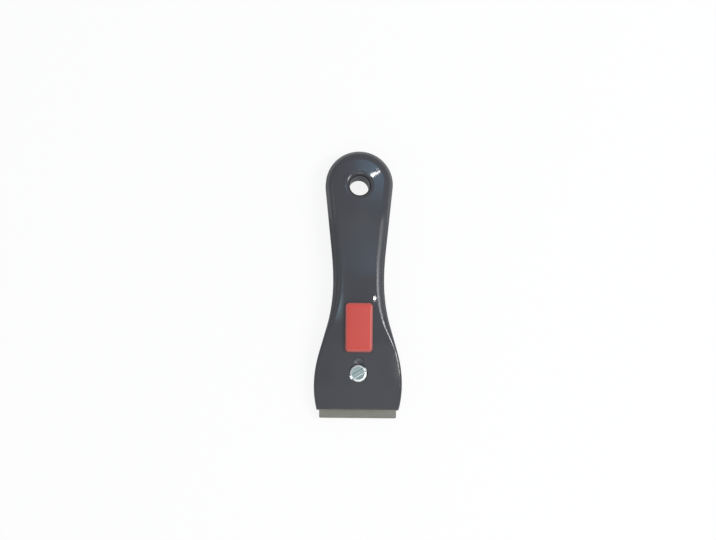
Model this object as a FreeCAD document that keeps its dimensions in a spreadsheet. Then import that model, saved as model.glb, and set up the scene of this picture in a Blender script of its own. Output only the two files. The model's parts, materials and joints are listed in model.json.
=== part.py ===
import FreeCAD, Part
import math
import os
import Sketcher

doc = FreeCAD.newDocument("hob_scraper")
sheet = doc.addObject("Spreadsheet::Sheet", "dims")

# Driving dimensions in millimetres and degrees
DIMENSIONS = {
    "overall_length": 148.5,
    "plate_reach": 4.75,
    "tail_radius": 18.7,
    "waist_width": 28.0,
    "waist_station": 75.5,
    "head_wall": 2.55,
    "head_station": 17.9,
    "head_lower_radius": 54.1,
    "handle_height": 18.0,
    "crown_station": 105.0,
    "mouth_lip": 3.34,
    "crown_width_radius": 150.0,
    "head_shoulder": 1.5,
    "flare_shoulder": 3.4,
    "waist_shoulder": 5.2,
    "tail_shoulder": 6.0,
    "inner_shoulder": 3.6,
    "head_back_radius": 2.0,
    "grip_back_radius": 4.0,
    "mouth_chamfer": 0.3,
    "parting_chamfer": 0.2,
    "wall": 2.4,
    "floor_wall": 2.0,
    "rib_thickness": 1.4,
    "hole_inset": 20.1,
    "hole_radius": 5.5,
    "hole_rim_radius": 2.5,
    "hole_back_radius": 0.5,
    "tube_wall": 2.2,
    "peg_radius": 1.25,
    "peg_wall": 1.25,
    "peg_height": 2.6,
    "peg_setback": 9.0,
    "blade_length": 43.0,
    "blade_width": 22.0,
    "blade_thickness": 0.4,
    "blade_end_bow": 2.8,
    "blade_hole_diameter": 6.0,
    "blade_hole_pitch": 13.0,
    "bevel_width": 1.2,
    "edge_land": 0.06,
    "blade_shelter": 0.3,
    "blade_travel": 3.5,
    "plate_side_inset": 0.3,
    "plate_tail": 5.8,
    "plate_thickness": 1.2,
    "plate_corner_radius": 0.8,
    "plate_deburr": 0.15,
    "plate_rear_chamfer": 3.0,
    "plate_pin_inset": 5.7,
    "plate_pin_setback": 3.0,
    "plate_pin_radius": 1.5,
    "plate_post_wall": 1.0,
    "carrier_thickness": 2.4,
    "carrier_pad_inset": 2.5,
    "carrier_front_overhang": 3.2,
    "carrier_arm_width": 5.8,
    "carrier_bridge": 2.2,
    "carrier_tail_width": 16.0,
    "carrier_tail_station": 66.0,
    "carrier_corner_radius": 1.0,
    "post_width": 5.0,
    "post_length": 11.0,
    "post_station": 48.9,
    "socket_cover": 1.5,
    "button_width": 15.1,
    "button_length": 27.1,
    "button_rise": 2.9,
    "button_corner_radius": 2.2,
    "button_edge_radius": 1.7,
    "stem_depth": 5.6,
    "cap_gap": 0.3,
    "screw_station": 24.1,
    "screw_radius": 1.5,
    "screw_head_radius": 5.1,
    "screw_head_height": 2.5,
    "screw_head_edge_radius": 1.6,
    "screw_slot_width": 1.9,
    "screw_slot_depth": 1.3,
    "screw_slot_chamfer": 0.35,
    "screw_slot_angle": 31.0,
    "screw_tip_chamfer": 0.4,
    "recess_radius": 5.2,
    "recess_depth": 1.9,
    "recess_rim_radius": 0.15,
    "notch_radius": 4.8,
    "notch_depth": 1.0,
    "notch_offset": 5.5,
    "recess_boss_radius": 10.4,
    "nut_flats": 5.5,
    "nut_height": 2.2,
    "nut_depth": 0.3,
    "nut_chamfer": 0.3,
    "boss_radius": 5.3,
    "spring_width": 6.0,
    "spring_thickness": 0.3,
    "spring_grip": 8.0,
    "spring_reach": 9.0,
    "spring_bump_length": 3.0,
    "spring_bump_flat": 0.6,
    "ridge_height": 0.5,
    "ridge_width": 1.2,
    "slide_gap": 0.1,
    "side_gap": 0.2,
    "free_gap": 0.4,
    "shaft_gap": 0.05,
    "overrun": 2.0,
    "match_tolerance": 0.03,
}

# Shares of the longest arcs that fit between the tail, the waist and the head, and of the pegs' distance
SHARES = {
    "taper_share": 0.526,
    "flare_share": 0.935,
    "lower_waist_share": 0.598,
    "rear_peg_share": 0.55,
}


class Size:
    """A length that carries its number and the sheet formula behind it."""

    def __init__(self, value, text):
        self.value = value
        self.text = text

    def join(self, other, sign, value):
        return Size(value, f"({self.text} {sign} {other.text})")

    def __add__(self, other):
        other = size(other)
        return self.join(other, "+", self.value + other.value)

    def __sub__(self, other):
        other = size(other)
        return self.join(other, "-", self.value - other.value)

    def __mul__(self, other):
        other = size(other)
        return self.join(other, "*", self.value * other.value)

    def __truediv__(self, other):
        other = size(other)
        return self.join(other, "/", self.value / other.value)

    def __neg__(self):
        return Size(-self.value, f"(0 - {self.text})")


def size(number):
    """Turns a plain number into a Size and leaves a Size as it is."""
    if isinstance(number, Size):
        return number
    return Size(float(number), str(number))


def root(number):
    """Square root of a Size."""
    return Size(math.sqrt(number.value), f"sqrt({number.text})")


def arcsine(share):
    """Angle in degrees whose sine is a Size."""
    return Size(math.degrees(math.asin(share.value)), f"asin({share.text})")


class Dims:
    """The sheet's named dimensions as Size attributes."""


d = Dims()
for row, (alias, value) in enumerate((DIMENSIONS | SHARES).items(), start=1):
    sheet.set(f"A{row}", alias)
    sheet.set(f"B{row}", str(value))
    sheet.setAlias(f"B{row}", alias)
    setattr(d, alias, Size(value, f"dims.{alias}"))
doc.recompute()

# Heights of the stack between the two shells
carrier_base = d.floor_wall + d.slide_gap
carrier_top = carrier_base + d.carrier_thickness
blade_top = carrier_top + d.blade_thickness
plate_base = blade_top + d.slide_gap
parting = plate_base + d.plate_thickness

# Stations along the handle, measured from the front edge of the plate
mouth = d.plate_reach
tail_centre = d.overall_length - d.tail_radius
blade_centre = d.blade_shelter + d.blade_width / 2
blade_back = d.blade_shelter + d.blade_width
channel_half = d.blade_length / 2 + d.side_gap
head_half = channel_half + d.head_wall
waist_half = d.waist_width / 2
half_length = d.overall_length / 2
hole_station = d.overall_length - d.hole_inset
front_peg_station = d.carrier_tail_station + d.spring_reach + d.peg_setback
rear_peg_station = front_peg_station + (hole_station - front_peg_station) * d.rear_peg_share
plate_half = d.blade_length / 2 - d.plate_side_inset
pin_x = plate_half - d.plate_pin_inset
plate_length = d.screw_station + d.plate_tail
plate_pin_station = plate_length - d.plate_pin_setback

# Length radius of the crown, from its top down to the lip over the mouth
crown_run = d.crown_station - mouth
crown_drop = d.handle_height - parting - d.mouth_lip
crown_length_radius = (crown_run * crown_run + crown_drop * crown_drop) / (crown_drop * 2)
crown_axis_height = d.handle_height - crown_length_radius

# Radii of the outline's long arcs, from the places that they join
taper_run = tail_centre - d.waist_station
taper_reach = waist_half * waist_half + taper_run * taper_run - d.tail_radius * d.tail_radius
waist_upper_radius = taper_reach / (d.tail_radius * 2 - d.waist_width) * d.taper_share
flare_run = d.waist_station - d.head_station
flare_rise = head_half - waist_half
flare_reach = (flare_rise * flare_rise + flare_run * flare_run) / (flare_rise * 2) * d.flare_share
waist_lower_radius = flare_reach * d.lower_waist_share
head_upper_radius = flare_reach - waist_lower_radius


def crown_at(station):
    """Height of the crown's centre line at a station."""
    run = d.crown_station - station
    drop = root(crown_length_radius * crown_length_radius - run * run)
    return crown_axis_height + drop


# Floor of the screw's recess, below the crown at its lower brink
recess_floor = crown_at(d.screw_station - d.recess_radius) - d.recess_depth


def bind(item, **formulas):
    """Binds properties of an object to sheet formulas; a double underscore stands for a dot."""
    for name, formula in formulas.items():
        item.setExpression(name.replace("__", "."), size(formula).text)


def add(kind, name, **formulas):
    item = doc.addObject(kind, name)
    bind(item, **formulas)
    return item


def place(item, x=0, y=0, z=0):
    bind(item, Placement__Base__x=x, Placement__Base__y=y, Placement__Base__z=z)
    return item


def block(name, x, y, z):
    """A box between pairs of limits."""
    item = add("Part::Box", name, Length=x[1] - x[0], Width=y[1] - y[0], Height=z[1] - z[0])
    return place(item, x[0], y[0], z[0])


def pillar(name, radius, x, y, z):
    """An upright cylinder between two heights."""
    item = add("Part::Cylinder", name, Radius=radius, Height=z[1] - z[0])
    return place(item, x, y, z[0])


def fuse(name, *items):
    item = doc.addObject("Part::MultiFuse", name)
    item.Shapes = list(items)
    return item


def common(name, *items):
    item = doc.addObject("Part::MultiCommon", name)
    item.Shapes = list(items)
    return item


def cut(name, base, tool):
    item = doc.addObject("Part::Cut", name)
    item.Base = base
    item.Tool = tool
    return item


def dress(kind, name, base, pick):
    """Fillets or chamfers the edges for which pick returns one radius or two."""
    doc.recompute()
    item = doc.addObject(kind, name)
    item.Base = base
    rows = []
    for number, edge in enumerate(base.Shape.Edges, start=1):
        radii = pick(edge)
        if radii:
            rows.append((number, radii[0], radii[-1]))
    item.Edges = rows
    return item


def prism(name, base, low, high):
    """Raises a flat profile between two heights."""
    item = doc.addObject("Part::Extrusion", name)
    item.Base = base
    item.DirMode = "Custom"
    item.Dir = FreeCAD.Vector(0, 0, 1)
    item.Solid = True
    bind(item, LengthFwd=high - low)
    return place(item, 0, 0, low)


class Draft:
    """A sketch whose geometry starts at its solved position and is held by bound constraints."""

    def __init__(self, sketch):
        self.sketch = sketch

    def line(self, start, stop):
        return self.sketch.addGeometry(Part.LineSegment(vector(*start), vector(*stop)), False)

    def arc(self, centre, radius, start, stop):
        circle = Part.Circle(vector(*centre), FreeCAD.Vector(0, 0, 1), radius.value)
        index = self.sketch.addGeometry(Part.ArcOfCircle(circle, start, stop), False)
        self.hold("Radius", index, formula=radius)
        self.pin(index, 3, *centre)
        return index

    def circle(self, centre, radius):
        circle = Part.Circle(vector(*centre), FreeCAD.Vector(0, 0, 1), radius.value)
        index = self.sketch.addGeometry(circle, False)
        self.hold("Radius", index, formula=radius)
        self.pin(index, 3, *centre)
        return index

    def rule(self, *words):
        return self.sketch.addConstraint(Sketcher.Constraint(*words))

    def hold(self, *words, formula):
        index = self.rule(*words, formula.value)
        self.sketch.setExpression(f"Constraints[{index}]", formula.text)

    def pin(self, index, end, x, y):
        """Holds a point at its coordinates, on an axis where a coordinate is zero."""
        if size(x).value:
            self.hold("DistanceX", -1, 1, index, end, formula=size(x))
        else:
            self.rule("PointOnObject", index, end, -2)
        if size(y).value:
            self.hold("DistanceY", -1, 1, index, end, formula=size(y))
        else:
            self.rule("PointOnObject", index, end, -1)

    def polygon(self, *points):
        """A closed outline of straight lines with every corner pinned."""
        first = None
        for number, point in enumerate(points):
            index = self.line(point, points[(number + 1) % len(points)])
            self.pin(index, 1, *point)
            if first is None:
                first = index
            else:
                self.rule("Coincident", index - 1, 2, index, 1)
        self.rule("Coincident", index, 2, first, 1)

    def rectangle(self, x, y):
        self.polygon((x[0], y[0]), (x[1], y[0]), (x[1], y[1]), (x[0], y[1]))


def vector(x, y):
    return FreeCAD.Vector(size(x).value, size(y).value, 0)


def new_body(name):
    return doc.addObject("PartDesign::Body", name)


def drafted(body, name, role="XY_Plane", lift=0):
    """A new sketch on one of a body's own planes, lifted along the plane's normal."""
    sketch = body.newObject("Sketcher::SketchObject", name)
    planes = {plane.Role: plane for plane in body.Origin.OriginFeatures}
    sketch.AttachmentSupport = (planes[role], [""])
    sketch.MapMode = "FlatFace"
    bind(sketch, AttachmentOffset__Base__z=lift)
    return Draft(sketch)


def feature(body, kind, name, draft, **formulas):
    item = body.newObject(kind, name)
    item.Profile = draft.sketch
    bind(item, **formulas)
    return item


def soften(body, kind, name, pick, **formulas):
    """Fillets or chamfers the picked edges of a body's last feature."""
    doc.recompute()
    tip = body.Tip
    names = [f"Edge{number}" for number, edge in enumerate(tip.Shape.Edges, start=1) if pick(edge)]
    item = body.newObject(kind, name)
    item.Base = (tip, names)
    bind(item, **formulas)
    return item


def near(first, second):
    return abs(first - size(second).value) < d.match_tolerance.value


def upright(edge):
    """True for a straight edge that runs along Z."""
    box = edge.BoundBox
    return near(box.XLength, 0) and near(box.YLength, 0)


def level(edge, height):
    """True for an edge that lies wholly at one height."""
    box = edge.BoundBox
    return near(box.ZMin, height) and near(box.ZMax, height)


def around(edge, radius, station):
    """True for a rim, or a stretch of it, around an upright bore on the centre line."""
    reaches = [math.hypot(spot.x, spot.y - station.value) for spot in edge.discretize(9)]
    lean = edge.tangentAt(edge.FirstParameter).z
    return all(near(reach, radius) for reach in reaches) and abs(lean) < math.cos(math.pi / 4)


def crown(name, rise):
    """The doubly curved front surface, raised or lowered, as an arched section bent along the handle."""
    section = doc.addObject("Sketcher::SketchObject", f"{name}_section")
    section.Placement.Rotation = FreeCAD.Rotation(FreeCAD.Vector(1, 0, 0), 90)
    place(section, 0, d.crown_station, 0)
    draft = Draft(section)
    half = head_half + d.overrun
    reach = d.crown_width_radius + rise
    centre = d.handle_height - d.crown_width_radius
    shoulder = centre + root(reach * reach - half * half)
    lean = math.asin(half.value / reach.value)
    arch = draft.arc((0, centre), reach, math.pi / 2 - lean, math.pi / 2 + lean)
    left = draft.line((-half, shoulder), (-half, -d.overrun))
    base = draft.line((-half, -d.overrun), (half, -d.overrun))
    right = draft.line((half, -d.overrun), (half, shoulder))
    draft.pin(base, 1, -half, -d.overrun)
    draft.pin(base, 2, half, -d.overrun)
    draft.rule("Coincident", left, 2, base, 1)
    draft.rule("Coincident", right, 1, base, 2)
    draft.rule("Coincident", arch, 1, right, 2)
    draft.rule("Coincident", arch, 2, left, 1)
    draft.rule("Vertical", left)
    draft.rule("Vertical", right)
    item = doc.addObject("Part::Revolution", name)
    item.Source = section
    item.Axis = FreeCAD.Vector(1, 0, 0)
    item.Symmetric = True
    item.Solid = True
    bind(item, Base__y=d.crown_station, Base__z=crown_axis_height)
    bind(item, Angle=arcsine(d.overall_length / crown_length_radius) * 2)
    return item


# Outline of the handle as a chain of tangent arcs and lines
def meeting_line(centre, radius, other_centre, other_radius, turn):
    """Touching points of the line that crosses between two circles, as numbers."""
    dx = other_centre[0] - centre[0]
    dy = other_centre[1] - centre[1]
    angle = math.atan2(dy, dx) + turn * math.acos((radius + other_radius) / math.hypot(dx, dy))
    normal = (math.cos(angle), math.sin(angle))
    first = (centre[0] + radius * normal[0], centre[1] + radius * normal[1])
    second = (other_centre[0] - other_radius * normal[0], other_centre[1] - other_radius * normal[1])
    return first, second, angle


def swing(side, start, stop):
    """Arc limits on one side of the centre line."""
    if side > 0:
        return start, stop
    return math.pi - stop, math.pi - start


outline = doc.addObject("Sketcher::SketchObject", "handle_outline")
draft = Draft(outline)
upper_x = waist_half + waist_upper_radius
lower_x = waist_half + waist_lower_radius
bulge_x = head_half - head_upper_radius
chin_x = head_half - d.head_lower_radius
taper = meeting_line(
    (0.0, tail_centre.value),
    d.tail_radius.value,
    (upper_x.value, d.waist_station.value),
    waist_upper_radius.value,
    1,
)
flare = meeting_line(
    (lower_x.value, d.waist_station.value),
    waist_lower_radius.value,
    (bulge_x.value, d.head_station.value),
    head_upper_radius.value,
    -1,
)
taper_angle = -taper[2]
flare_angle = flare[2] % (2 * math.pi) - math.pi
chin_angle = math.asin((d.head_station.value - mouth.value) / d.head_lower_radius.value)
tail = draft.arc((0, tail_centre), d.tail_radius, -taper_angle, math.pi + taper_angle)
chins = []
for side in (1, -1):
    start_end = 1 if side > 0 else 2
    stop_end = 2 if side > 0 else 1
    upper_swing = swing(side, math.pi - taper_angle, math.pi)
    lower_swing = swing(side, math.pi, math.pi + flare_angle)
    bulge_swing = swing(side, 0.0, flare_angle)
    chin_swing = swing(side, -chin_angle, 0.0)
    upper = draft.arc((upper_x * side, d.waist_station), waist_upper_radius, *upper_swing)
    lower = draft.arc((lower_x * side, d.waist_station), waist_lower_radius, *lower_swing)
    bulge = draft.arc((bulge_x * side, d.head_station), head_upper_radius, *bulge_swing)
    chin = draft.arc((chin_x * side, d.head_station), d.head_lower_radius, *chin_swing)
    taper_line = draft.line((taper[0][0] * side, taper[0][1]), (taper[1][0] * side, taper[1][1]))
    flare_line = draft.line((flare[0][0] * side, flare[0][1]), (flare[1][0] * side, flare[1][1]))
    draft.rule("Tangent", taper_line, 1, tail, start_end)
    draft.rule("Tangent", taper_line, 2, upper, start_end)
    draft.rule("Horizontal", upper, 3, upper, stop_end)
    draft.rule("Horizontal", lower, 3, lower, start_end)
    draft.rule("Tangent", flare_line, 1, lower, stop_end)
    draft.rule("Tangent", flare_line, 2, bulge, stop_end)
    draft.rule("Horizontal", bulge, 3, bulge, start_end)
    draft.rule("Horizontal", chin, 3, chin, stop_end)
    draft.hold("DistanceY", -1, 1, chin, start_end, formula=mouth)
    chins.append((chin, start_end))
chin_run = d.head_station - mouth
mouth_half = chin_x + root(d.head_lower_radius * d.head_lower_radius - chin_run * chin_run)
mouth_line = draft.line((-mouth_half, mouth), (mouth_half, mouth))
draft.rule("Coincident", mouth_line, 2, *chins[0])
draft.rule("Coincident", mouth_line, 1, *chins[1])

inset = add("Part::Offset2D", "inner_outline", Value=-d.wall)
inset.Source = outline
inset.Join = "Intersection"


def graded(point, knots):
    """Radius at a point of a long edge, read from a table of stations and radii."""
    station, radius = knots[0]
    if point.y <= station:
        return radius
    for (low, low_radius), (high, high_radius) in zip(knots, knots[1:]):
        if point.y <= high:
            part = (point.y - low) / (high - low)
            return low_radius + (high_radius - low_radius) * part
    return knots[-1][1]


def counter_clockwise(edge):
    """True where an edge runs counter-clockwise around the waist as seen from the front."""
    start = edge.valueAt(edge.FirstParameter)
    stop = edge.valueAt(edge.LastParameter)
    middle = d.waist_station.value
    return start.x * (stop.y - middle) > stop.x * (start.y - middle)


def long_round(name, base, pick, knots):
    """Rounds the chain of picked edges with a radius that changes along the handle."""
    doc.recompute()
    chain = [(number, edge) for number, edge in enumerate(base.Shape.Edges, start=1) if pick(edge)]
    way = counter_clockwise(chain[0][1])
    rows = []
    for number, edge in chain:
        radii = [graded(edge.valueAt(spot), knots) for spot in (edge.FirstParameter, edge.LastParameter)]
        if counter_clockwise(edge) != way:
            radii.reverse()
        rows.append((number, *radii))
    item = doc.addObject("Part::Fillet", name)
    item.Base = base
    item.Edges = rows
    return item


def lengthwise(edge):
    """True for an edge that runs along the handle and not only across it."""
    return edge.BoundBox.YLength > d.overrun.value


# Front shell: a raised outline under the crown, with shoulders that grow towards the tail
front_prism = prism("front_prism", outline, parting, d.handle_height + d.overrun)
front_form = common("front_form", front_prism, crown("outer_crown", 0))


def shoulder_edge(edge):
    return edge.BoundBox.ZMin > parting.value + d.parting_chamfer.value and lengthwise(edge)


shoulder_knots = (
    (flare[1][1], d.head_shoulder.value),
    (flare[0][1], d.flare_shoulder.value),
    (d.waist_station.value, d.waist_shoulder.value),
    (tail_centre.value, d.tail_shoulder.value),
)
front_skin = long_round("front_skin", front_form, shoulder_edge, shoulder_knots)


def parting_edge(edge):
    if level(edge, parting) and lengthwise(edge):
        return [d.parting_chamfer.value]
    return None


front_case = dress("Part::Chamfer", "front_case", front_skin, parting_edge)


def lip_edge(edge):
    if near(edge.BoundBox.YMax, mouth) and edge.BoundBox.ZMax > parting.value + d.overrun.value:
        return [d.mouth_chamfer.value]
    return None


front_lipped = dress("Part::Chamfer", "front_lipped", front_case, lip_edge)

sky = d.handle_height + d.overrun
keel = -d.overrun
inner_prism = prism("inner_prism", inset, size(0), sky)
inner_form = common("inner_form", inner_prism, crown("inner_crown", -d.wall))


def inner_rim(edge):
    if level(edge, 0) or not lengthwise(edge):
        return None
    return [d.inner_shoulder.value]


inner_room = dress("Part::Fillet", "inner_room", inner_form, inner_rim)
tube_radius = d.hole_radius + d.tube_wall
stem_half = d.post_width / 2 + d.socket_cover
stem_long_half = d.post_length / 2 + d.socket_cover
slot_half = stem_half + d.free_gap
guide_x = (d.carrier_tail_width / 2 - d.rib_thickness, d.carrier_tail_width / 2)
guide_y = (d.post_station - d.button_length / 2, d.post_station + d.button_length / 2)
peg_post_radius = d.peg_radius + d.peg_wall
front_keep = fuse(
    "front_bosses",
    pillar("screw_boss", d.recess_boss_radius, 0, d.screw_station, (keel, sky)),
    pillar("front_tube", tube_radius, 0, hole_station, (keel, sky)),
    pillar("front_peg_boss", peg_post_radius, 0, front_peg_station, (keel, sky)),
    pillar("rear_peg_boss", peg_post_radius, 0, rear_peg_station, (keel, sky)),
    block("right_press_rib", (pin_x - d.rib_thickness, pin_x), (mouth, plate_pin_station), (keel, sky)),
    block("left_press_rib", (-pin_x, d.rib_thickness - pin_x), (mouth, plate_pin_station), (keel, sky)),
    block("right_guide_root", guide_x, guide_y, (keel, sky)),
    block("left_guide_root", (-guide_x[1], -guide_x[0]), guide_y, (keel, sky)),
)
front_hollow = cut("front_hollow", inner_room, front_keep)
slot_y = (
    d.post_station - stem_long_half - d.blade_travel - d.free_gap,
    d.post_station + stem_long_half + d.free_gap,
)
peg_hole = d.peg_radius + d.shaft_gap
peg_hole_top = parting + d.peg_height + d.free_gap
notch_station = d.screw_station + d.notch_offset
notch = add("Part::Sphere", "notch", Radius=d.notch_radius)
notch.Placement.Rotation = FreeCAD.Rotation(FreeCAD.Vector(1, 0, 0), 90)
place(notch, 0, notch_station, crown_at(notch_station) - d.notch_depth + d.notch_radius)
front_cuts = fuse(
    "front_cuts",
    front_hollow,
    notch,
    pillar("screw_recess", d.recess_radius, 0, d.screw_station, (recess_floor, sky)),
    pillar("front_screw_hole", d.screw_radius + d.shaft_gap, 0, d.screw_station, (keel, sky)),
    pillar("front_bore", d.hole_radius, 0, hole_station, (keel, sky)),
    pillar("front_peg_hole", peg_hole, 0, front_peg_station, (keel, peg_hole_top)),
    pillar("rear_peg_hole", peg_hole, 0, rear_peg_station, (keel, peg_hole_top)),
    block("slider_slot", (-slot_half, slot_half), slot_y, (parting, sky)),
)
front_cored = cut("front_cored", front_lipped, front_cuts)


def front_rim(edge):
    if edge.BoundBox.ZMin < recess_floor.value + d.notch_depth.value:
        return None
    if around(edge, d.hole_radius, hole_station):
        return [d.hole_rim_radius.value]
    if around(edge, d.recess_radius, d.screw_station):
        return [d.recess_rim_radius.value]
    return None


front_rimmed = dress("Part::Fillet", "front_rimmed", front_cored, front_rim)
guide_z = (carrier_top + d.side_gap, parting + d.overrun)
front_shell = fuse(
    "front_shell",
    front_rimmed,
    block("right_guide", guide_x, guide_y, guide_z),
    block("left_guide", (-guide_x[1], -guide_x[0]), guide_y, guide_z),
)

# Back shell: a flat tray with the blade channel, the nut pocket and the rails
back_form = prism("back_form", outline, size(0), parting)


def back_edge(edge):
    return level(edge, 0) and lengthwise(edge)


back_knots = (
    (d.head_station.value, d.head_back_radius.value),
    (d.waist_station.value, d.grip_back_radius.value),
)
back_skin = long_round("back_skin", back_form, back_edge, back_knots)
back_case = dress("Part::Chamfer", "back_case", back_skin, parting_edge)
back_top = parting + d.overrun
tray = (d.floor_wall, back_top)
channel_end = plate_length + d.free_gap
back_room = fuse(
    "back_room",
    prism("back_inner", inset, *tray),
    block("blade_channel", (-channel_half, channel_half), (-d.overrun, channel_end), tray),
)
rail_x = (d.carrier_tail_width / 2 + d.side_gap, d.carrier_tail_width / 2 + d.side_gap + d.rib_thickness)
slot_end = d.screw_station + d.boss_radius + d.blade_travel + d.free_gap
arm_end = slot_end + d.carrier_bridge
rail_y = (arm_end + d.free_gap, d.carrier_tail_station + d.spring_reach)
boss_top = carrier_top - d.side_gap
plate_post_radius = d.plate_pin_radius + d.plate_post_wall
bump_station = d.carrier_tail_station + d.spring_reach - d.spring_bump_length / 2
ridge_middle = bump_station - d.blade_travel / 2
back_keep = fuse(
    "back_bosses",
    pillar("nut_boss", d.boss_radius, 0, d.screw_station, (size(0), boss_top)),
    common(
        "plate_seat",
        pillar("plate_seat_round", d.boss_radius, 0, d.screw_station, (size(0), plate_base)),
        block(
            "plate_seat_limit",
            (-d.boss_radius, d.boss_radius),
            (blade_back + d.free_gap, d.screw_station + d.boss_radius),
            (size(0), plate_base),
        ),
    ),
    pillar("right_plate_post", plate_post_radius, pin_x, plate_pin_station, (size(0), plate_base)),
    pillar("left_plate_post", plate_post_radius, -pin_x, plate_pin_station, (size(0), plate_base)),
    block("right_rail", rail_x, rail_y, (size(0), back_top)),
    block("left_rail", (-rail_x[1], -rail_x[0]), rail_y, (size(0), back_top)),
    pillar("back_tube", tube_radius, 0, hole_station, (size(0), back_top)),
    pillar("front_peg_post", peg_post_radius, 0, front_peg_station, (size(0), back_top)),
    pillar("rear_peg_post", peg_post_radius, 0, rear_peg_station, (size(0), back_top)),
    block(
        "detent_ridge",
        (-d.spring_width / 2, d.spring_width / 2),
        (ridge_middle - d.ridge_width / 2, ridge_middle + d.ridge_width / 2),
        (size(0), d.floor_wall + d.ridge_height),
    ),
)
back_hollow = cut("back_hollow", back_room, back_keep)
nut_pocket = add("Part::Prism", "nut_pocket", Height=d.overrun + d.nut_depth + d.nut_height)
bind(nut_pocket, Circumradius=(d.nut_flats + d.side_gap) / math.sqrt(3))
place(nut_pocket, 0, d.screw_station, -d.overrun)
back_cuts = fuse(
    "back_cuts",
    back_hollow,
    nut_pocket,
    pillar("back_screw_hole", d.screw_radius + d.shaft_gap, 0, d.screw_station, (-d.overrun, back_top)),
    pillar("back_bore", d.hole_radius, 0, hole_station, (-d.overrun, back_top)),
)
back_cored = cut("back_cored", back_case, back_cuts)


def back_rim(edge):
    if level(edge, 0) and around(edge, d.hole_radius, hole_station):
        return [d.hole_back_radius.value]
    return None


back_rimmed = dress("Part::Fillet", "back_rimmed", back_cored, back_rim)
peg_z = (d.floor_wall, parting + d.peg_height)
pin_z = (d.floor_wall, parting - d.side_gap)
pin_radius = d.plate_pin_radius - d.shaft_gap
back_shell = fuse(
    "back_shell",
    back_rimmed,
    pillar("front_peg", d.peg_radius, 0, front_peg_station, peg_z),
    pillar("rear_peg", d.peg_radius, 0, rear_peg_station, peg_z),
    pillar("right_plate_pin", pin_radius, pin_x, plate_pin_station, pin_z),
    pillar("left_plate_pin", pin_radius, -pin_x, plate_pin_station, pin_z),
)

# Support plate: stamped steel strip with rounded front corners
support_plate = new_body("support_plate")
draft = drafted(support_plate, "plate_outline")
plate_shoulder = plate_length - d.plate_rear_chamfer
draft.polygon(
    (-plate_half, 0),
    (plate_half, 0),
    (plate_half, plate_shoulder),
    (plate_half - d.plate_rear_chamfer, plate_length),
    (d.plate_rear_chamfer - plate_half, plate_length),
    (-plate_half, plate_shoulder),
)
draft.circle((0, d.screw_station), d.screw_radius + d.shaft_gap)
draft.circle((pin_x, plate_pin_station), d.plate_pin_radius)
draft.circle((-pin_x, plate_pin_station), d.plate_pin_radius)
feature(support_plate, "PartDesign::Pad", "plate_pad", draft, Length=d.plate_thickness)


def plate_front_corner(edge):
    return upright(edge) and near(edge.BoundBox.YMin, 0)


plate_rounding = d.plate_corner_radius
soften(support_plate, "PartDesign::Fillet", "plate_corners", plate_front_corner, Radius=plate_rounding)


def plate_face_edge(edge):
    return level(edge, d.plate_thickness) and edge.BoundBox.YMin < d.plate_corner_radius.value * 2


soften(support_plate, "PartDesign::Chamfer", "plate_deburr_edge", plate_face_edge, Size=d.plate_deburr)
place(support_plate, 0, -half_length, plate_base)

# Blade: two ground edges, curved ends and three round holes
blade = new_body("blade")
draft = drafted(blade, "blade_outline")
blade_half = d.blade_length / 2
edge_half = blade_half - d.blade_end_bow
width_half = d.blade_width / 2
end_radius = (width_half * width_half + d.blade_end_bow * d.blade_end_bow) / (d.blade_end_bow * 2)
end_x = blade_half - end_radius
end_angle = math.asin(width_half.value / end_radius.value)
right_end = draft.arc((end_x, 0), end_radius, -end_angle, end_angle)
left_end = draft.arc((-end_x, 0), end_radius, math.pi - end_angle, math.pi + end_angle)
near_edge = draft.line((-edge_half, -width_half), (edge_half, -width_half))
far_edge = draft.line((edge_half, width_half), (-edge_half, width_half))
draft.rule("Coincident", near_edge, 2, right_end, 1)
draft.rule("Coincident", far_edge, 1, right_end, 2)
draft.rule("Coincident", far_edge, 2, left_end, 1)
draft.rule("Coincident", near_edge, 1, left_end, 2)
for arc, end, height in ((right_end, 1, -1), (right_end, 2, 1), (left_end, 1, 1), (left_end, 2, -1)):
    draft.hold("DistanceY", -1, 1, arc, end, formula=width_half * height)
for step in (-1, 0, 1):
    draft.circle((d.blade_hole_pitch * step, 0), d.blade_hole_diameter / 2)
feature(blade, "PartDesign::Pad", "blade_pad", draft, Length=d.blade_thickness)
draft = drafted(blade, "bevel_profile", "YZ_Plane")
middle = d.blade_thickness / 2
land = d.edge_land / 2
for side in (1, -1):
    heel = (width_half - d.bevel_width) * side
    tip = width_half * side
    past = (width_half + d.overrun) * side
    for face, lip in ((d.blade_thickness, middle + land), (size(0), middle - land)):
        draft.polygon((heel, face), (tip, lip), (past, lip), (past, face))
bevels = feature(blade, "PartDesign::Pocket", "bevels", draft, Length=d.blade_length + d.overrun * 2)
bevels.Midplane = True
place(blade, 0, blade_centre - half_length, carrier_top)

# Blade carrier: flat slide with three pins, two arms around the screw and the post for the button
blade_carrier = new_body("blade_carrier")
draft = drafted(blade_carrier, "carrier_outline")
pad_half = d.blade_length / 2 - d.carrier_pad_inset
pad_front = blade_centre - d.carrier_front_overhang
slot_start = d.screw_station - d.boss_radius - d.free_gap
slot_x = d.boss_radius + d.free_gap
arm_x = slot_x + d.carrier_arm_width
tail_x = d.carrier_tail_width / 2
draft.polygon(
    (-pad_half, pad_front),
    (pad_half, pad_front),
    (pad_half, slot_start),
    (arm_x, slot_start),
    (arm_x, arm_end),
    (tail_x, arm_end),
    (tail_x, d.carrier_tail_station),
    (-tail_x, d.carrier_tail_station),
    (-tail_x, arm_end),
    (-arm_x, arm_end),
    (-arm_x, slot_start),
    (-pad_half, slot_start),
)
draft.rectangle((-slot_x, slot_x), (slot_start, slot_end))
feature(blade_carrier, "PartDesign::Pad", "carrier_pad", draft, Length=d.carrier_thickness)


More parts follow.
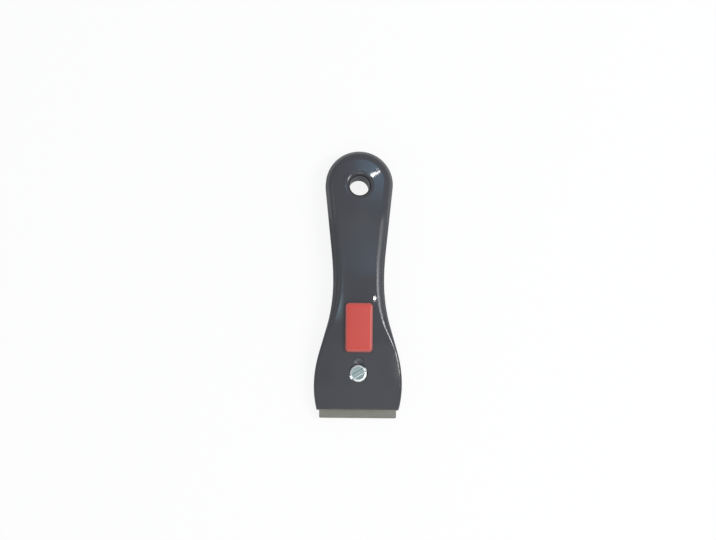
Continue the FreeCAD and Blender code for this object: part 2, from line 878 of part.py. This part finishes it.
def carrier_corner(edge):
    """True at the outer corners of the slide's pad and tail."""
    spot = edge.CenterOfMass
    return upright(edge) and (near(abs(spot.x), pad_half) or near(spot.y, d.carrier_tail_station))


carrier_rounding = d.carrier_corner_radius
soften(blade_carrier, "PartDesign::Fillet", "carrier_corners", carrier_corner, Radius=carrier_rounding)
draft = drafted(blade_carrier, "pin_circles", lift=d.carrier_thickness)
for step in (-1, 0, 1):
    pin = d.blade_hole_diameter / 2 - d.slide_gap
    draft.circle((d.blade_hole_pitch * step, blade_centre), pin)
feature(blade_carrier, "PartDesign::Pad", "blade_pins", draft, Length=d.blade_thickness)
draft = drafted(blade_carrier, "post_outline", lift=d.carrier_thickness)
draft.rectangle(
    (-d.post_width / 2, d.post_width / 2),
    (d.post_station - d.post_length / 2, d.post_station + d.post_length / 2),
)
post_top = crown_at(d.post_station) - d.wall
feature(blade_carrier, "PartDesign::Pad", "post_pad", draft, Length=post_top - carrier_top)
slit_base = (d.carrier_thickness - d.spring_thickness) / 2
draft = drafted(blade_carrier, "spring_slit_outline", lift=slit_base + d.spring_thickness)
draft.rectangle(
    (-d.spring_width / 2, d.spring_width / 2),
    (d.carrier_tail_station - d.spring_grip, d.carrier_tail_station + d.overrun),
)
feature(blade_carrier, "PartDesign::Pocket", "spring_slit", draft, Length=d.spring_thickness)
place(blade_carrier, 0, -half_length, carrier_base)

# Detent spring: steel leaf in the slide's tail with a bump that clicks over the ridge
detent_spring = new_body("detent_spring")
draft = drafted(detent_spring, "leaf_profile", "YZ_Plane")
leaf_low = carrier_base + slit_base
leaf_high = leaf_low + d.spring_thickness
bump_low = d.floor_wall + d.shaft_gap
bump_high = bump_low + d.spring_thickness
bump_start = bump_station - d.spring_bump_length / 2
bump_stop = bump_station + d.spring_bump_length / 2
bump_foot = d.spring_bump_flat / 2
leaf_start = d.carrier_tail_station - d.spring_grip
draft.polygon(
    (leaf_start, leaf_low),
    (bump_start, leaf_low),
    (bump_station - bump_foot, bump_low),
    (bump_station + bump_foot, bump_low),
    (bump_stop, leaf_low),
    (bump_stop, leaf_high),
    (bump_station + bump_foot, bump_high),
    (bump_station - bump_foot, bump_high),
    (bump_start, leaf_high),
    (leaf_start, leaf_high),
)
leaf = feature(detent_spring, "PartDesign::Pad", "leaf_pad", draft, Length=d.spring_width)
leaf.Midplane = True
place(detent_spring, 0, -half_length, 0)

# Thumb button: crowned cap with rounded edges on a stem that is pressed over the post
cap_x = d.button_width / 2
cap_y = (d.post_station - d.button_length / 2, d.post_station + d.button_length / 2)
cap_block = block("cap_block", (-cap_x, cap_x), cap_y, (parting, sky + d.button_rise))


def cap_corner(edge):
    if upright(edge):
        return [d.button_corner_radius.value]
    return None


cap_round = dress("Part::Fillet", "cap_round", cap_block, cap_corner)
cap_form = common("cap_form", cap_round, crown("cap_crown", d.button_rise))


def cap_edge(edge):
    if edge.BoundBox.ZMin > parting.value + d.overrun.value and not upright(edge):
        return [d.button_edge_radius.value]
    return None


cap_soft = dress("Part::Fillet", "cap_soft", cap_form, cap_edge)
cap = cut("cap", cap_soft, crown("cap_underside", d.cap_gap))
post_crown = crown_at(d.post_station)
stem = block(
    "stem",
    (-stem_half, stem_half),
    (d.post_station - stem_long_half, d.post_station + stem_long_half),
    (post_crown - d.stem_depth, post_crown + d.button_rise / 2),
)
socket = block(
    "socket",
    (-d.post_width / 2, d.post_width / 2),
    (d.post_station - d.post_length / 2, d.post_station + d.post_length / 2),
    (parting, post_top),
)
thumb_button = cut("thumb_button", fuse("cap_and_stem", cap, stem), socket)

# Clamp screw: slotted pan head, turned from the front
clamp_screw = new_body("clamp_screw")
draft = drafted(clamp_screw, "screw_profile", "XZ_Plane")
screw_top = recess_floor + d.screw_head_height
screw_tip = d.nut_depth
draft.polygon(
    (0, screw_tip),
    (d.screw_radius - d.screw_tip_chamfer, screw_tip),
    (d.screw_radius, screw_tip + d.screw_tip_chamfer),
    (d.screw_radius, recess_floor),
    (d.screw_head_radius, recess_floor),
    (d.screw_head_radius, screw_top),
    (0, screw_top),
)
turned = feature(clamp_screw, "PartDesign::Revolution", "turned_blank", draft)
turned.ReferenceAxis = (draft.sketch, ["V_Axis"])


def head_edge(edge):
    return level(edge, screw_top) and edge.isClosed()


soften(clamp_screw, "PartDesign::Fillet", "head_round", head_edge, Radius=d.screw_head_edge_radius)
draft = drafted(clamp_screw, "slot_outline", lift=screw_top)
slot_reach = d.screw_head_radius + d.overrun
draft.rectangle((-slot_reach, slot_reach), (-d.screw_slot_width / 2, d.screw_slot_width / 2))
feature(clamp_screw, "PartDesign::Pocket", "driver_slot", draft, Length=d.screw_slot_depth)


def slot_edge(edge):
    return level(edge, screw_top) and near(edge.BoundBox.YLength, 0)


soften(clamp_screw, "PartDesign::Chamfer", "slot_lead", slot_edge, Size=d.screw_slot_chamfer)
bind(clamp_screw, Placement__Rotation__Angle=d.screw_slot_angle)
place(clamp_screw, 0, d.screw_station - half_length, 0)

# Clamp nut: thin hexagon nut in the back shell
clamp_nut = new_body("clamp_nut")
draft = drafted(clamp_nut, "nut_outline")
nut_corner = d.nut_flats / math.sqrt(3)
nut_flat = d.nut_flats / 2
draft.polygon(
    (nut_corner, 0),
    (nut_corner / 2, nut_flat),
    (-nut_corner / 2, nut_flat),
    (-nut_corner, 0),
    (-nut_corner / 2, -nut_flat),
    (nut_corner / 2, -nut_flat),
)
draft.circle((0, 0), d.screw_radius + d.shaft_gap)
feature(clamp_nut, "PartDesign::Pad", "nut_pad", draft, Length=d.nut_height)


def nut_hole_rim(edge):
    return edge.isClosed()


soften(clamp_nut, "PartDesign::Chamfer", "nut_lead", nut_hole_rim, Size=d.nut_chamfer)
place(clamp_nut, 0, d.screw_station - half_length, d.nut_depth)

for shaped in (front_shell, back_shell, thumb_button):
    place(shaped, 0, -half_length, 0)

PIECES = (
    front_shell,
    back_shell,
    support_plate,
    blade,
    blade_carrier,
    thumb_button,
    clamp_screw,
    clamp_nut,
    detent_spring,
)

doc.recompute()
for item in doc.Objects:
    if "Invalid" in item.State or "Error" in item.State:
        raise RuntimeError(f"{item.Name} did not build: {item.State}")
os.makedirs("parts", exist_ok=True)
for piece in PIECES:
    if piece.Shape.isNull() or not piece.Shape.isValid() or len(piece.Shape.Solids) != 1:
        raise RuntimeError(f"{piece.Label} is not one valid solid")
    piece.Shape.exportStep(f"parts/{piece.Label}.step")
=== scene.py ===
import json
import math

import bmesh
import bpy
from mathutils import Euler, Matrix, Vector


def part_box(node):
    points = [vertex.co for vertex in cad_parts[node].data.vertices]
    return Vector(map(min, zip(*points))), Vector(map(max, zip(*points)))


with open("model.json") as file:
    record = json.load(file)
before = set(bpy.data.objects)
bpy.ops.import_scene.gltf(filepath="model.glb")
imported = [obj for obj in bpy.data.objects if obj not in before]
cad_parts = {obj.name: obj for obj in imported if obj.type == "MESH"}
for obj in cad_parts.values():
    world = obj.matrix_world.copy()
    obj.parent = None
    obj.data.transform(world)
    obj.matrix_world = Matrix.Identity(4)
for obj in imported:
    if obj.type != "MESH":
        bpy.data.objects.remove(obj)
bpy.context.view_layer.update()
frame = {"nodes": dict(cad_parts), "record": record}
nodes = frame["nodes"]
record = frame["record"]
scene = bpy.context.scene

# Camera: a long lens above the front face, leaning towards the blade end and a little to the left
PHOTO_WIDTH = 716
METRES_PER_PIXEL = 0.0005556
CAMERA_DISTANCE = 1.2
CAMERA_TILT = math.radians(8.6)
CAMERA_SIDE = math.radians(-2.5)
CAMERA_ROLL = math.radians(0.34)
CAMERA_AIM = Vector((-0.00036, 0.00784, 0.008))
CAMERA_NEAR = 0.01
SENSOR_WIDTH = 36.0

# Upright axes of the hanging hole, the clamp screw and the dip above it, and the driver slot's turn from +X
HOLE_AXIS = next(mount["pos_m"] for mount in record["mounts"] if mount["name"] == "hanging_hole")
SCREW_AXIS = next(joint["pos_m"] for joint in record["behaviour"]["joints"] if joint["name"] == "screw_turn")
DIP_OFFSET = 0.0055
DIP_AXIS = (SCREW_AXIS[0], SCREW_AXIS[1] + DIP_OFFSET)
SLOT_ANGLE = math.radians(31)

# Stretches of the handle along +Y in metres: where each one fades in, then where it fades out
HELD_STRETCH = ((0.002, 0.014), (0.03, 0.046))
FLARE_STRETCH = ((-0.06, -0.052), (-0.0215, -0.0165))
GRIP_STRETCH = ((-0.0215, -0.0165), (0.03, 0.04))

# Upward share of the normal, where the handle's flanks end and where its shoulders meet the crown
FLANK_SLOPE = (0.35, 0.75)
SHOULDER_SLOPE = (0.98, 0.993)

# Rings about the hole, the screw's recess and the dip, as distances from their axes in metres
HOLE_RIM = (0.008, 0.009)
RECESS_RIM = ((0.005, 0.0051), (0.0054, 0.0056))
DIP_EDGE = (0.0028, 0.0032)
# The dip's wall ring, on its upper half, carries a painted highlight on the handle.
DIP_WALL = ((0.0009, 0.0016), (0.0024, 0.003))
DIP_UPPER_HALF = (DIP_AXIS[1] - 0.0004, DIP_AXIS[1] + 0.0008)

# Marks on the button, as distances in from its sides, and on the blade and the screw's head, in metres
# The border band carries a painted highlight of the button's rounded edge.
BUTTON_BORDER = (0.0008, 0.0016)
BUTTON_SEAM = ((0.0012, 0.0017), (0.0019, 0.0028))
BEVEL_WIDTH = 0.0012
BEVEL_FADE = 0.00005
# The rim and slot-lip bands carry painted highlights on the screw's head, and the slot-shade band painted
# shade.
SCREW_RIM = (0.0034, 0.0041)
SLOT_LIP = ((-0.0017, -0.0014), (-0.001, -0.0007))
SLOT_SHADE = (-0.0018, -0.0014)

# Colours of the finishes, in linear light
PLASTIC_DARK = (0.044, 0.046, 0.054, 1)
PLASTIC_PALE = (0.052, 0.054, 0.063, 1)
PLASTIC_PAINTED_HIGHLIGHT = (0.105, 0.11, 0.115, 1)
RED_DEEP = (0.545, 0.055, 0.043, 1)
RED_PALE = (0.583, 0.064, 0.048, 1)
RED_SEAM = (0.6, 0.045, 0.028, 1)
RED_PAINTED_HIGHLIGHT = (0.42, 0.17, 0.16, 1)
SLIDE_DARK = (0.028, 0.028, 0.03, 1)
SLIDE_PALE = (0.045, 0.045, 0.047, 1)
PLATE_OLIVE = (0.181, 0.179, 0.152, 1)
PLATE_GREY = (0.24, 0.238, 0.21, 1)
PLATE_LINE = (0.3, 0.3, 0.28, 1)
BLADE_ROLLED = (0.47, 0.47, 0.46, 1)
BLADE_GROUND = (0.64, 0.64, 0.65, 1)
BLADE_LINE = (0.3, 0.3, 0.3, 1)
ZINC_DULL = (0.29, 0.36, 0.35, 1)
ZINC_PALE = (0.37, 0.43, 0.42, 1)
ZINC_SHADED = (0.14, 0.19, 0.19, 1)
ZINC_PAINTED_HIGHLIGHT = (0.93, 0.95, 0.94, 1)
SPRING_BLUE = (0.1, 0.12, 0.19, 1)
SPRING_STRAW = (0.3, 0.25, 0.18, 1)
PAPER_DARK = (0.86, 0.86, 0.86, 1)
PAPER_PALE = (0.92, 0.92, 0.92, 1)
PAPER_GLOW = (1, 1, 1, 1)

# Floor: half its side, its drop below the scraper, the share of plain white in it, and of that in reflections
FLOOR_REACH = 3.0
FLOOR_DROP = 0.0002
FLOOR_WHITE = 0.88
FLOOR_IN_GLOSS = 0.12

# Lamps: height of the ceiling, watts per square metre at a radiance of 1, soft edge of a taper, and colours
CEILING = 1.3
LAMP_SPREAD = math.pi
TAPER_EDGE = 0.2
WHITE = (1.0, 1.0, 1.0)
WARM = (1.0, 0.985, 0.965)
TEAL = (0.5, 0.85, 1.0)
PALE_BLUE = (0.6, 0.75, 1.0)
BLUE = (0.3, 0.62, 1.0)
STUDIO_COLOUR = (0.97, 0.98, 1.0, 1)
STUDIO_STRENGTH = 0.48


class Signal:
    """A value socket that takes part in plain arithmetic."""

    def __init__(self, owner, socket):
        self.owner = owner
        self.socket = socket

    def math(self, operation, first, second):
        settings = {"operation": operation}
        return self.owner.node("ShaderNodeMath", settings, {0: first, 1: second})

    def __add__(self, other):
        return self.math("ADD", self, other)

    def __radd__(self, other):
        return self.math("ADD", other, self)

    def __sub__(self, other):
        return self.math("SUBTRACT", self, other)

    def __rsub__(self, other):
        return self.math("SUBTRACT", other, self)

    def __mul__(self, other):
        return self.math("MULTIPLY", self, other)

    def __rmul__(self, other):
        return self.math("MULTIPLY", other, self)

    def __abs__(self):
        return self.math("ABSOLUTE", self, 0.0)

    def least(self, other):
        return self.math("MINIMUM", self, other)

    def most(self, other):
        return self.math("MAXIMUM", self, other)


class Nodes:
    """A node tree whose nodes are added one call at a time."""

    def __init__(self, tree):
        self.tree = tree

    def node(self, kind, settings=None, sockets=None, output=0):
        """Adds a node, sets it up, fills its sockets and returns one output."""
        made = self.tree.nodes.new(kind)
        for name, value in (settings or {}).items():
            setattr(made, name, value)
        for name, value in (sockets or {}).items():
            if isinstance(value, Signal):
                self.tree.links.new(value.socket, made.inputs[name])
            else:
                made.inputs[name].default_value = value
        return Signal(self, made.outputs[output])

    def axis(self, vector, name):
        """One coordinate of a place or a direction."""
        return self.node("ShaderNodeSeparateXYZ", sockets={"Vector": vector}, output=name)

    def band(self, value, ends):
        """Runs smoothly from 0 to 1 between two values."""
        settings = {"interpolation_type": "SMOOTHSTEP"}
        sockets = {"Value": value, "From Min": ends[0], "From Max": ends[1]}
        return self.node("ShaderNodeMapRange", settings, sockets)

    def within(self, value, rise, fall):
        """Runs smoothly from 0 to 1 over one pair of values and back to 0 over another."""
        return self.band(value, rise) * (1.0 - self.band(value, fall))


class Finish(Nodes):
    """A material with its shader and the patterns that feed it."""

    def __init__(self, name, **constants):
        self.material = bpy.data.materials.new(name)
        self.material.use_nodes = True
        super().__init__(self.material.node_tree)
        self.surface = self.tree.nodes["Principled BSDF"]
        for socket, value in constants.items():
            self.surface.inputs[socket.replace("_", " ")].default_value = value

    def feed(self, **signals):
        """Links signals to the shader's own sockets."""
        for socket, signal in signals.items():
            self.tree.links.new(signal.socket, self.surface.inputs[socket.replace("_", " ")])

    def place(self, shift=(0, 0, 0), turn=(0, 0, 0), stretch=(1, 1, 1), spot=None):
        """Object coordinates, or a place made from them, stretched, turned and moved."""
        spot = spot or self.node("ShaderNodeTexCoord", output="Object")
        sockets = {"Vector": spot, "Location": shift, "Rotation": turn, "Scale": stretch}
        return self.node("ShaderNodeMapping", sockets=sockets)

    def noise(self, scale, detail, spot=None):
        """Even noise of a given fineness, or noise on a stretched place."""
        sockets = {"Vector": spot or self.place(), "Scale": scale, "Detail": detail}
        return self.node("ShaderNodeTexNoise", sockets=sockets)

    def streaks(self, stretch, detail, turn=0.0):
        """Noise drawn out along one axis, with its fineness along each."""
        return self.noise(1.0, detail, self.place(turn=(0, 0, turn), stretch=stretch))

    def blend(self, share, first, second):
        """Mixes two colours by a value."""
        settings = {"data_type": "RGBA"}
        return self.node("ShaderNodeMix", settings, {"Factor": share, "A": first, "B": second}, output=2)

    def away(self, centre):
        """Distance from an upright axis."""
        flat = self.place(shift=(-centre[0], -centre[1], 0), stretch=(1, 1, 0))
        return self.node("ShaderNodeVectorMath", {"operation": "LENGTH"}, {0: flat}, output="Value")

    def relief(self, height, depth):
        """Turns a height signal into a normal."""
        return self.node("ShaderNodeBump", sockets={"Height": height, "Distance": depth})

    def ray(self, kind):
        """1 where a ray of one kind meets the surface."""
        return self.node("ShaderNodeLightPath", output=kind)


def middle_and_half(piece):
    """Centre of a piece's box, and half of each side."""
    low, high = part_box(piece)
    return (low + high) / 2, (high - low) / 2


def handle_plastic():
    """Glossy dark grey moulded plastic with a faint ripple, handling marks, dull scuffs and a painted
    highlight on the upper wall of the dip above the screw.
    """
    finish = Finish("handle_plastic", Coat_Roughness=0.03, IOR=1.5)
    clouds = finish.noise(scale=55.0, detail=3.0)
    smears = finish.streaks(stretch=(260, 45, 120), detail=4.0, turn=0.5)
    specks = finish.noise(scale=2600.0, detail=2.0)
    ripple = finish.noise(scale=110.0, detail=1.0)
    along = finish.axis(finish.place(), "Y")
    upward = finish.axis(finish.node("ShaderNodeNewGeometry", output="Normal"), "Z")
    from_dip = finish.away(DIP_AXIS)

    held = finish.within(along, *HELD_STRETCH)
    flank = (1.0 - finish.band(upward, FLANK_SLOPE)) * finish.band(finish.away(HOLE_AXIS), HOLE_RIM)
    shoulder = 1.0 - finish.band(upward, SHOULDER_SLOPE)
    flare = shoulder * finish.within(along, *FLARE_STRETCH)
    grip = shoulder * finish.within(along, *GRIP_STRETCH)
    recess = finish.within(finish.away(SCREW_AXIS), *RECESS_RIM)
    scuffed = recess.most(1.0 - finish.band(from_dip, DIP_EDGE))
    # Painted highlight: the upper half of the dip's wall above the screw is paler, for the light it catches.
    dip_painted_highlight = finish.within(from_dip, *DIP_WALL) * finish.band(along, DIP_UPPER_HALF)
    dulled = flank.most(scuffed).most(flare + grip)

    tone = finish.blend(clouds, PLASTIC_DARK, PLASTIC_PALE)
    tone = finish.blend(0.6 * dip_painted_highlight, tone, PLASTIC_PAINTED_HIGHLIGHT)
    rough = 0.03 + 0.12 * held + 0.05 * finish.band(smears, (0.55, 0.8)) + 0.02 * specks
    rough = rough + 0.3 * scuffed + 0.45 * flank + 0.07 * flare + 0.22 * grip
    coat = (0.5 - 0.3 * smears) * (1.0 - dulled)
    finish.feed(Base_Color=tone, Roughness=rough, Coat_Weight=coat)
    finish.feed(Normal=finish.relief(ripple, depth=0.000012))
    return finish.material


def red_plastic():
    """Satin red plastic, fine-grained, with a paler border that is a painted highlight of its rounded edge.
    """
    finish = Finish("red_plastic", IOR=1.5)
    middle, half = middle_and_half("thumb_button")
    spot = finish.place(shift=-middle)
    across = abs(finish.axis(spot, "X"))
    along = abs(finish.axis(spot, "Y"))
    inset = (half.x - across).least(half.y - along)
    # Painted highlight: the band along the rounded edge is paler, for the light it catches.
    border = 1.0 - finish.band(inset, BUTTON_BORDER)
    seam = finish.within(inset, *BUTTON_SEAM)
    grain = finish.noise(scale=3200.0, detail=2.0)
    clouds = finish.noise(scale=120.0, detail=3.0)
    tone = finish.blend(clouds, RED_DEEP, RED_PALE)
    tone = finish.blend(0.7 * seam, tone, RED_SEAM)
    tone = finish.blend(0.5 * border, tone, RED_PAINTED_HIGHLIGHT)
    finish.feed(Base_Color=tone, Roughness=0.36 + 0.12 * grain)
    finish.feed(Normal=finish.relief(grain, depth=0.00003))
    return finish.material


def slide_plastic():
    """Matte black plastic with a spark-eroded grain."""
    finish = Finish("slide_plastic", IOR=1.48)
    grain = finish.noise(scale=2400.0, detail=3.0)
    clouds = finish.noise(scale=90.0, detail=3.0)
    tone = finish.blend(clouds, SLIDE_DARK, SLIDE_PALE)
    finish.feed(Base_Color=tone, Roughness=0.5 + 0.2 * grain)
    finish.feed(Normal=finish.relief(grain, depth=0.00005))
    return finish.material


def plate_steel():
    """Rolled grey steel with lines along the strip and an oily, olive bloom."""
    finish = Finish("plate_steel", Metallic=1.0)
    lines = finish.streaks(stretch=(35, 5200, 5200), detail=4.0)
    bloom = finish.noise(scale=170.0, detail=4.0)
    tone = finish.blend(bloom, PLATE_OLIVE, PLATE_GREY)
    tone = finish.blend(0.5 * finish.band(lines, (0.5, 0.8)), tone, PLATE_LINE)
    finish.feed(Base_Color=tone, Roughness=0.38 + 0.16 * lines + 0.08 * bloom)
    finish.feed(Normal=finish.relief(lines, depth=0.00002))
    return finish.material


def blade_steel():
    """Bright rolled blade steel with ground bevels."""
    finish = Finish("blade_steel", Metallic=1.0)
    middle, half = middle_and_half("blade")
    from_middle = abs(finish.axis(finish.place(shift=-middle), "Y"))
    bevel_start = half.y - BEVEL_WIDTH
    bevel = finish.band(from_middle, (bevel_start - BEVEL_FADE, bevel_start + BEVEL_FADE))
    rolled = finish.streaks(stretch=(45, 4800, 4800), detail=4.0)
    ground = finish.streaks(stretch=(5200, 120, 120), detail=3.0)
    lines = rolled * (1.0 - bevel) + ground * bevel
    tone = finish.blend(bevel, BLADE_ROLLED, BLADE_GROUND)
    tone = finish.blend(0.35 * lines, tone, BLADE_LINE)
    finish.feed(Base_Color=tone, Roughness=0.24 + 0.2 * lines)
    finish.feed(Normal=finish.relief(lines, depth=0.00001))
    return finish.material


def zinc_steel(name, piece):
    """Dull zinc plating over turned steel, with painted highlights on the rim and on one edge of a driver
    slot, and painted shade on the head past that edge.
    """
    finish = Finish(name, Metallic=1.0)
    middle = middle_and_half(piece)[0]
    spot = finish.place(shift=-middle)
    across_slot = finish.axis(finish.place(turn=(0, 0, -SLOT_ANGLE), spot=spot), "Y")
    rim = finish.band(finish.away(middle), SCREW_RIM)
    # Painted highlight: the rim and one lip of the slot are near white, for the light they catch.
    bright = rim.most(finish.within(across_slot, *SLOT_LIP))
    # Painted shade: the head past that lip is darker.
    shaded = 1.0 - finish.band(across_slot, SLOT_SHADE)
    rings = finish.node(
        "ShaderNodeTexWave",
        {"wave_type": "RINGS", "rings_direction": "Z"},
        {"Vector": spot, "Scale": 900.0, "Distortion": 1.5, "Detail": 2.0, "Detail Scale": 3.0},
        output="Fac",
    )
    bloom = finish.noise(scale=420.0, detail=4.0)
    tone = finish.blend(bloom, ZINC_DULL, ZINC_PALE)
    tone = finish.blend(0.5 * shaded, tone, ZINC_SHADED)
    tone = finish.blend(bright, tone, ZINC_PAINTED_HIGHLIGHT)
    finish.feed(Base_Color=tone, Roughness=0.3 + 0.15 * bright + 0.08 * bloom + 0.05 * rings)
    finish.feed(Normal=finish.relief(rings, depth=0.000006))
    return finish.material


def spring_steel():
    """Blued spring steel with a straw tint in places."""
    finish = Finish("spring_steel", Metallic=1.0)
    heat = finish.noise(scale=160.0, detail=3.0)
    lines = finish.streaks(stretch=(4200, 60, 4200), detail=3.0)
    tone = finish.blend(heat, SPRING_BLUE, SPRING_STRAW)
    finish.feed(Base_Color=tone, Roughness=0.3 + 0.15 * lines)
    finish.feed(Normal=finish.relief(lines, depth=0.00001))
    return finish.material


def paper_floor():
    """White paper under the scraper: white to the camera, less so in reflections, with the shadow kept."""
    finish = Finish("paper_floor", Roughness=0.9, IOR=1.2)
    fibres = finish.noise(scale=700.0, detail=4.0)
    finish.feed(Base_Color=finish.blend(fibres, PAPER_DARK, PAPER_PALE))
    finish.feed(Normal=finish.relief(fibres, depth=0.00002))
    direct = finish.ray("Is Camera Ray").most(finish.ray("Is Transmission Ray"))
    seen = direct.most(FLOOR_IN_GLOSS * finish.ray("Is Glossy Ray"))
    paper = Signal(finish, finish.surface.outputs["BSDF"])
    glow = finish.node("ShaderNodeEmission", sockets={"Color": PAPER_GLOW})
    mixed = finish.node("ShaderNodeMixShader", sockets={"Fac": FLOOR_WHITE * seen, 1: paper, 2: glow})
    finish.tree.links.new(mixed.socket, finish.tree.nodes["Material Output"].inputs["Surface"])
    return finish.material


def make_floor():
    mesh = bpy.data.meshes.new("floor")
    form = bmesh.new()
    bmesh.ops.create_grid(form, x_segments=1, y_segments=1, size=FLOOR_REACH)
    bmesh.ops.translate(form, verts=form.verts, vec=(0, 0, -FLOOR_DROP))
    form.to_mesh(mesh)
    form.free()
    floor = bpy.data.objects.new("floor", mesh)
    scene.collection.objects.link(floor)
    mesh.materials.append(paper_floor())


def shade_panel(data, feather, taper):
    """Fades a panel over a share of its sides, or narrows it to a point at one end."""
    data.use_nodes = True
    glow = Nodes(data.node_tree)
    place = glow.node("ShaderNodeNewGeometry", output="Parametric")
    across = glow.axis(place, "X")
    along = glow.axis(place, "Y")
    if taper:
        strength = glow.band(1.0 - across - abs(2.0 * along - 1.0), (0.0, TAPER_EDGE))
    else:
        strength = glow.band(across.least(1.0 - across), (0.0, feather))
        strength = strength * glow.band(along.least(1.0 - along), (0.0, feather))
    data.node_tree.links.new(strength.socket, data.node_tree.nodes["Emission"].inputs["Strength"])


def add_panel(name, sides, radiance, colour, feather, taper=False):
    """A soft rectangular lamp of a given brightness."""
    width, height = sides
    data = bpy.data.lights.new(name, "AREA")
    if feather or taper:
        shade_panel(data, feather, taper)
    data.shape = "RECTANGLE"
    data.size = width
    data.size_y = height
    data.energy = radiance * LAMP_SPREAD * width * height
    data.color = colour
    lamp = bpy.data.objects.new(name, data)
    scene.collection.objects.link(lamp)
    return lamp


def hang_lamp(name, spot, sides, radiance, colour=WHITE, turn=0.0, feather=0.0, taper=False):
    """A panel that hangs level; its place and sides are shares of the ceiling's height."""
    sides = [share * CEILING for share in sides]
    lamp = add_panel(name, sides, radiance, colour, feather, taper)
    lamp.location = (spot[0] * CEILING, spot[1] * CEILING, CEILING)
    lamp.rotation_euler = (0, 0, math.radians(turn))


def stand_lamp(name, spot, sides, radiance, colour, feather):
    """A panel on a stand that faces the scraper; its place and sides are in metres."""
    lamp = add_panel(name, sides, radiance, colour, feather)
    lamp.location = spot
    lamp.rotation_euler = (-Vector(spot)).to_track_quat("-Z", "Y").to_euler()


def light_studio():
    """Large panels light the scraper, and small ones make single reflections in its gloss."""
    hang_lamp("key_lamp", (0.784, -0.09), (0.84, 0.2), radiance=13.9, colour=WARM, turn=3.0, feather=0.08)
    hang_lamp("flare_lamp", (0.62, 0.015), (0.45, 0.1), radiance=23.0, turn=17.0, feather=0.2)
    hang_lamp("tail_lamp", (0.182, 0.352), (0.095, 0.009), radiance=45.0, turn=10.6, taper=True)
    hang_lamp("rim_lamp", (0.06, 0.315), (0.09, 0.06), radiance=14.0)
    hang_lamp("spot_lamp", (0.165, -0.003), (0.009, 0.006), radiance=90.0)
    hang_lamp("left_lamp", (-0.17, 0.012), (0.2, 0.17), radiance=4.5, colour=TEAL, feather=0.35)
    hang_lamp("tail_sky", (0.22, 0.4), (0.58, 0.36), radiance=1.45, colour=BLUE, feather=0.4)
    hang_lamp("grip_sky", (0.17, 0.108), (0.5, 0.13), radiance=0.62, colour=BLUE, feather=0.35)
    hang_lamp("head_lamp", (0.044, -0.3), (1.6, 0.35), radiance=0.14)
    hang_lamp("front_lamp", (0.044, -0.8), (0.9, 0.6), radiance=3.2, feather=0.3)
    hang_lamp("fill_lamp", (-1.3, 0.0), (0.9, 1.2), radiance=0.5, feather=0.3)
    stand_lamp("side_lamp", (1.35, 0.12, 0.85), (0.16, 1.3), radiance=2.2, colour=PALE_BLUE, feather=0.2)
    world = bpy.data.worlds.new("studio")
    world.use_nodes = True
    background = world.node_tree.nodes["Background"]
    background.inputs["Color"].default_value = STUDIO_COLOUR
    background.inputs["Strength"].default_value = STUDIO_STRENGTH
    scene.world = world
    scene.view_settings.view_transform = "Standard"


def make_camera():
    data = bpy.data.cameras.new("photo_camera")
    data.sensor_width = SENSOR_WIDTH
    data.lens = SENSOR_WIDTH * CAMERA_DISTANCE / (PHOTO_WIDTH * METRES_PER_PIXEL)
    data.clip_start = CAMERA_NEAR
    camera = bpy.data.objects.new("photo_camera", data)
    camera.rotation_euler = Euler((CAMERA_TILT, CAMERA_SIDE, CAMERA_ROLL))
    camera.location = CAMERA_AIM + camera.rotation_euler.to_matrix() @ Vector((0, 0, CAMERA_DISTANCE))
    scene.collection.objects.link(camera)
    scene.camera = camera


handle_finish = handle_plastic()
FINISHES = {
    "front_shell": handle_finish,
    "back_shell": handle_finish,
    "support_plate": plate_steel(),
    "blade": blade_steel(),
    "blade_carrier": slide_plastic(),
    "thumb_button": red_plastic(),
    "clamp_screw": zinc_steel("zinc_screw", "clamp_screw"),
    "clamp_nut": zinc_steel("zinc_nut", "clamp_nut"),
    "detent_spring": spring_steel(),
}
for name, material in FINISHES.items():
    nodes[name].data.materials.clear()
    nodes[name].data.materials.append(material)

make_floor()
light_studio()
make_camera()
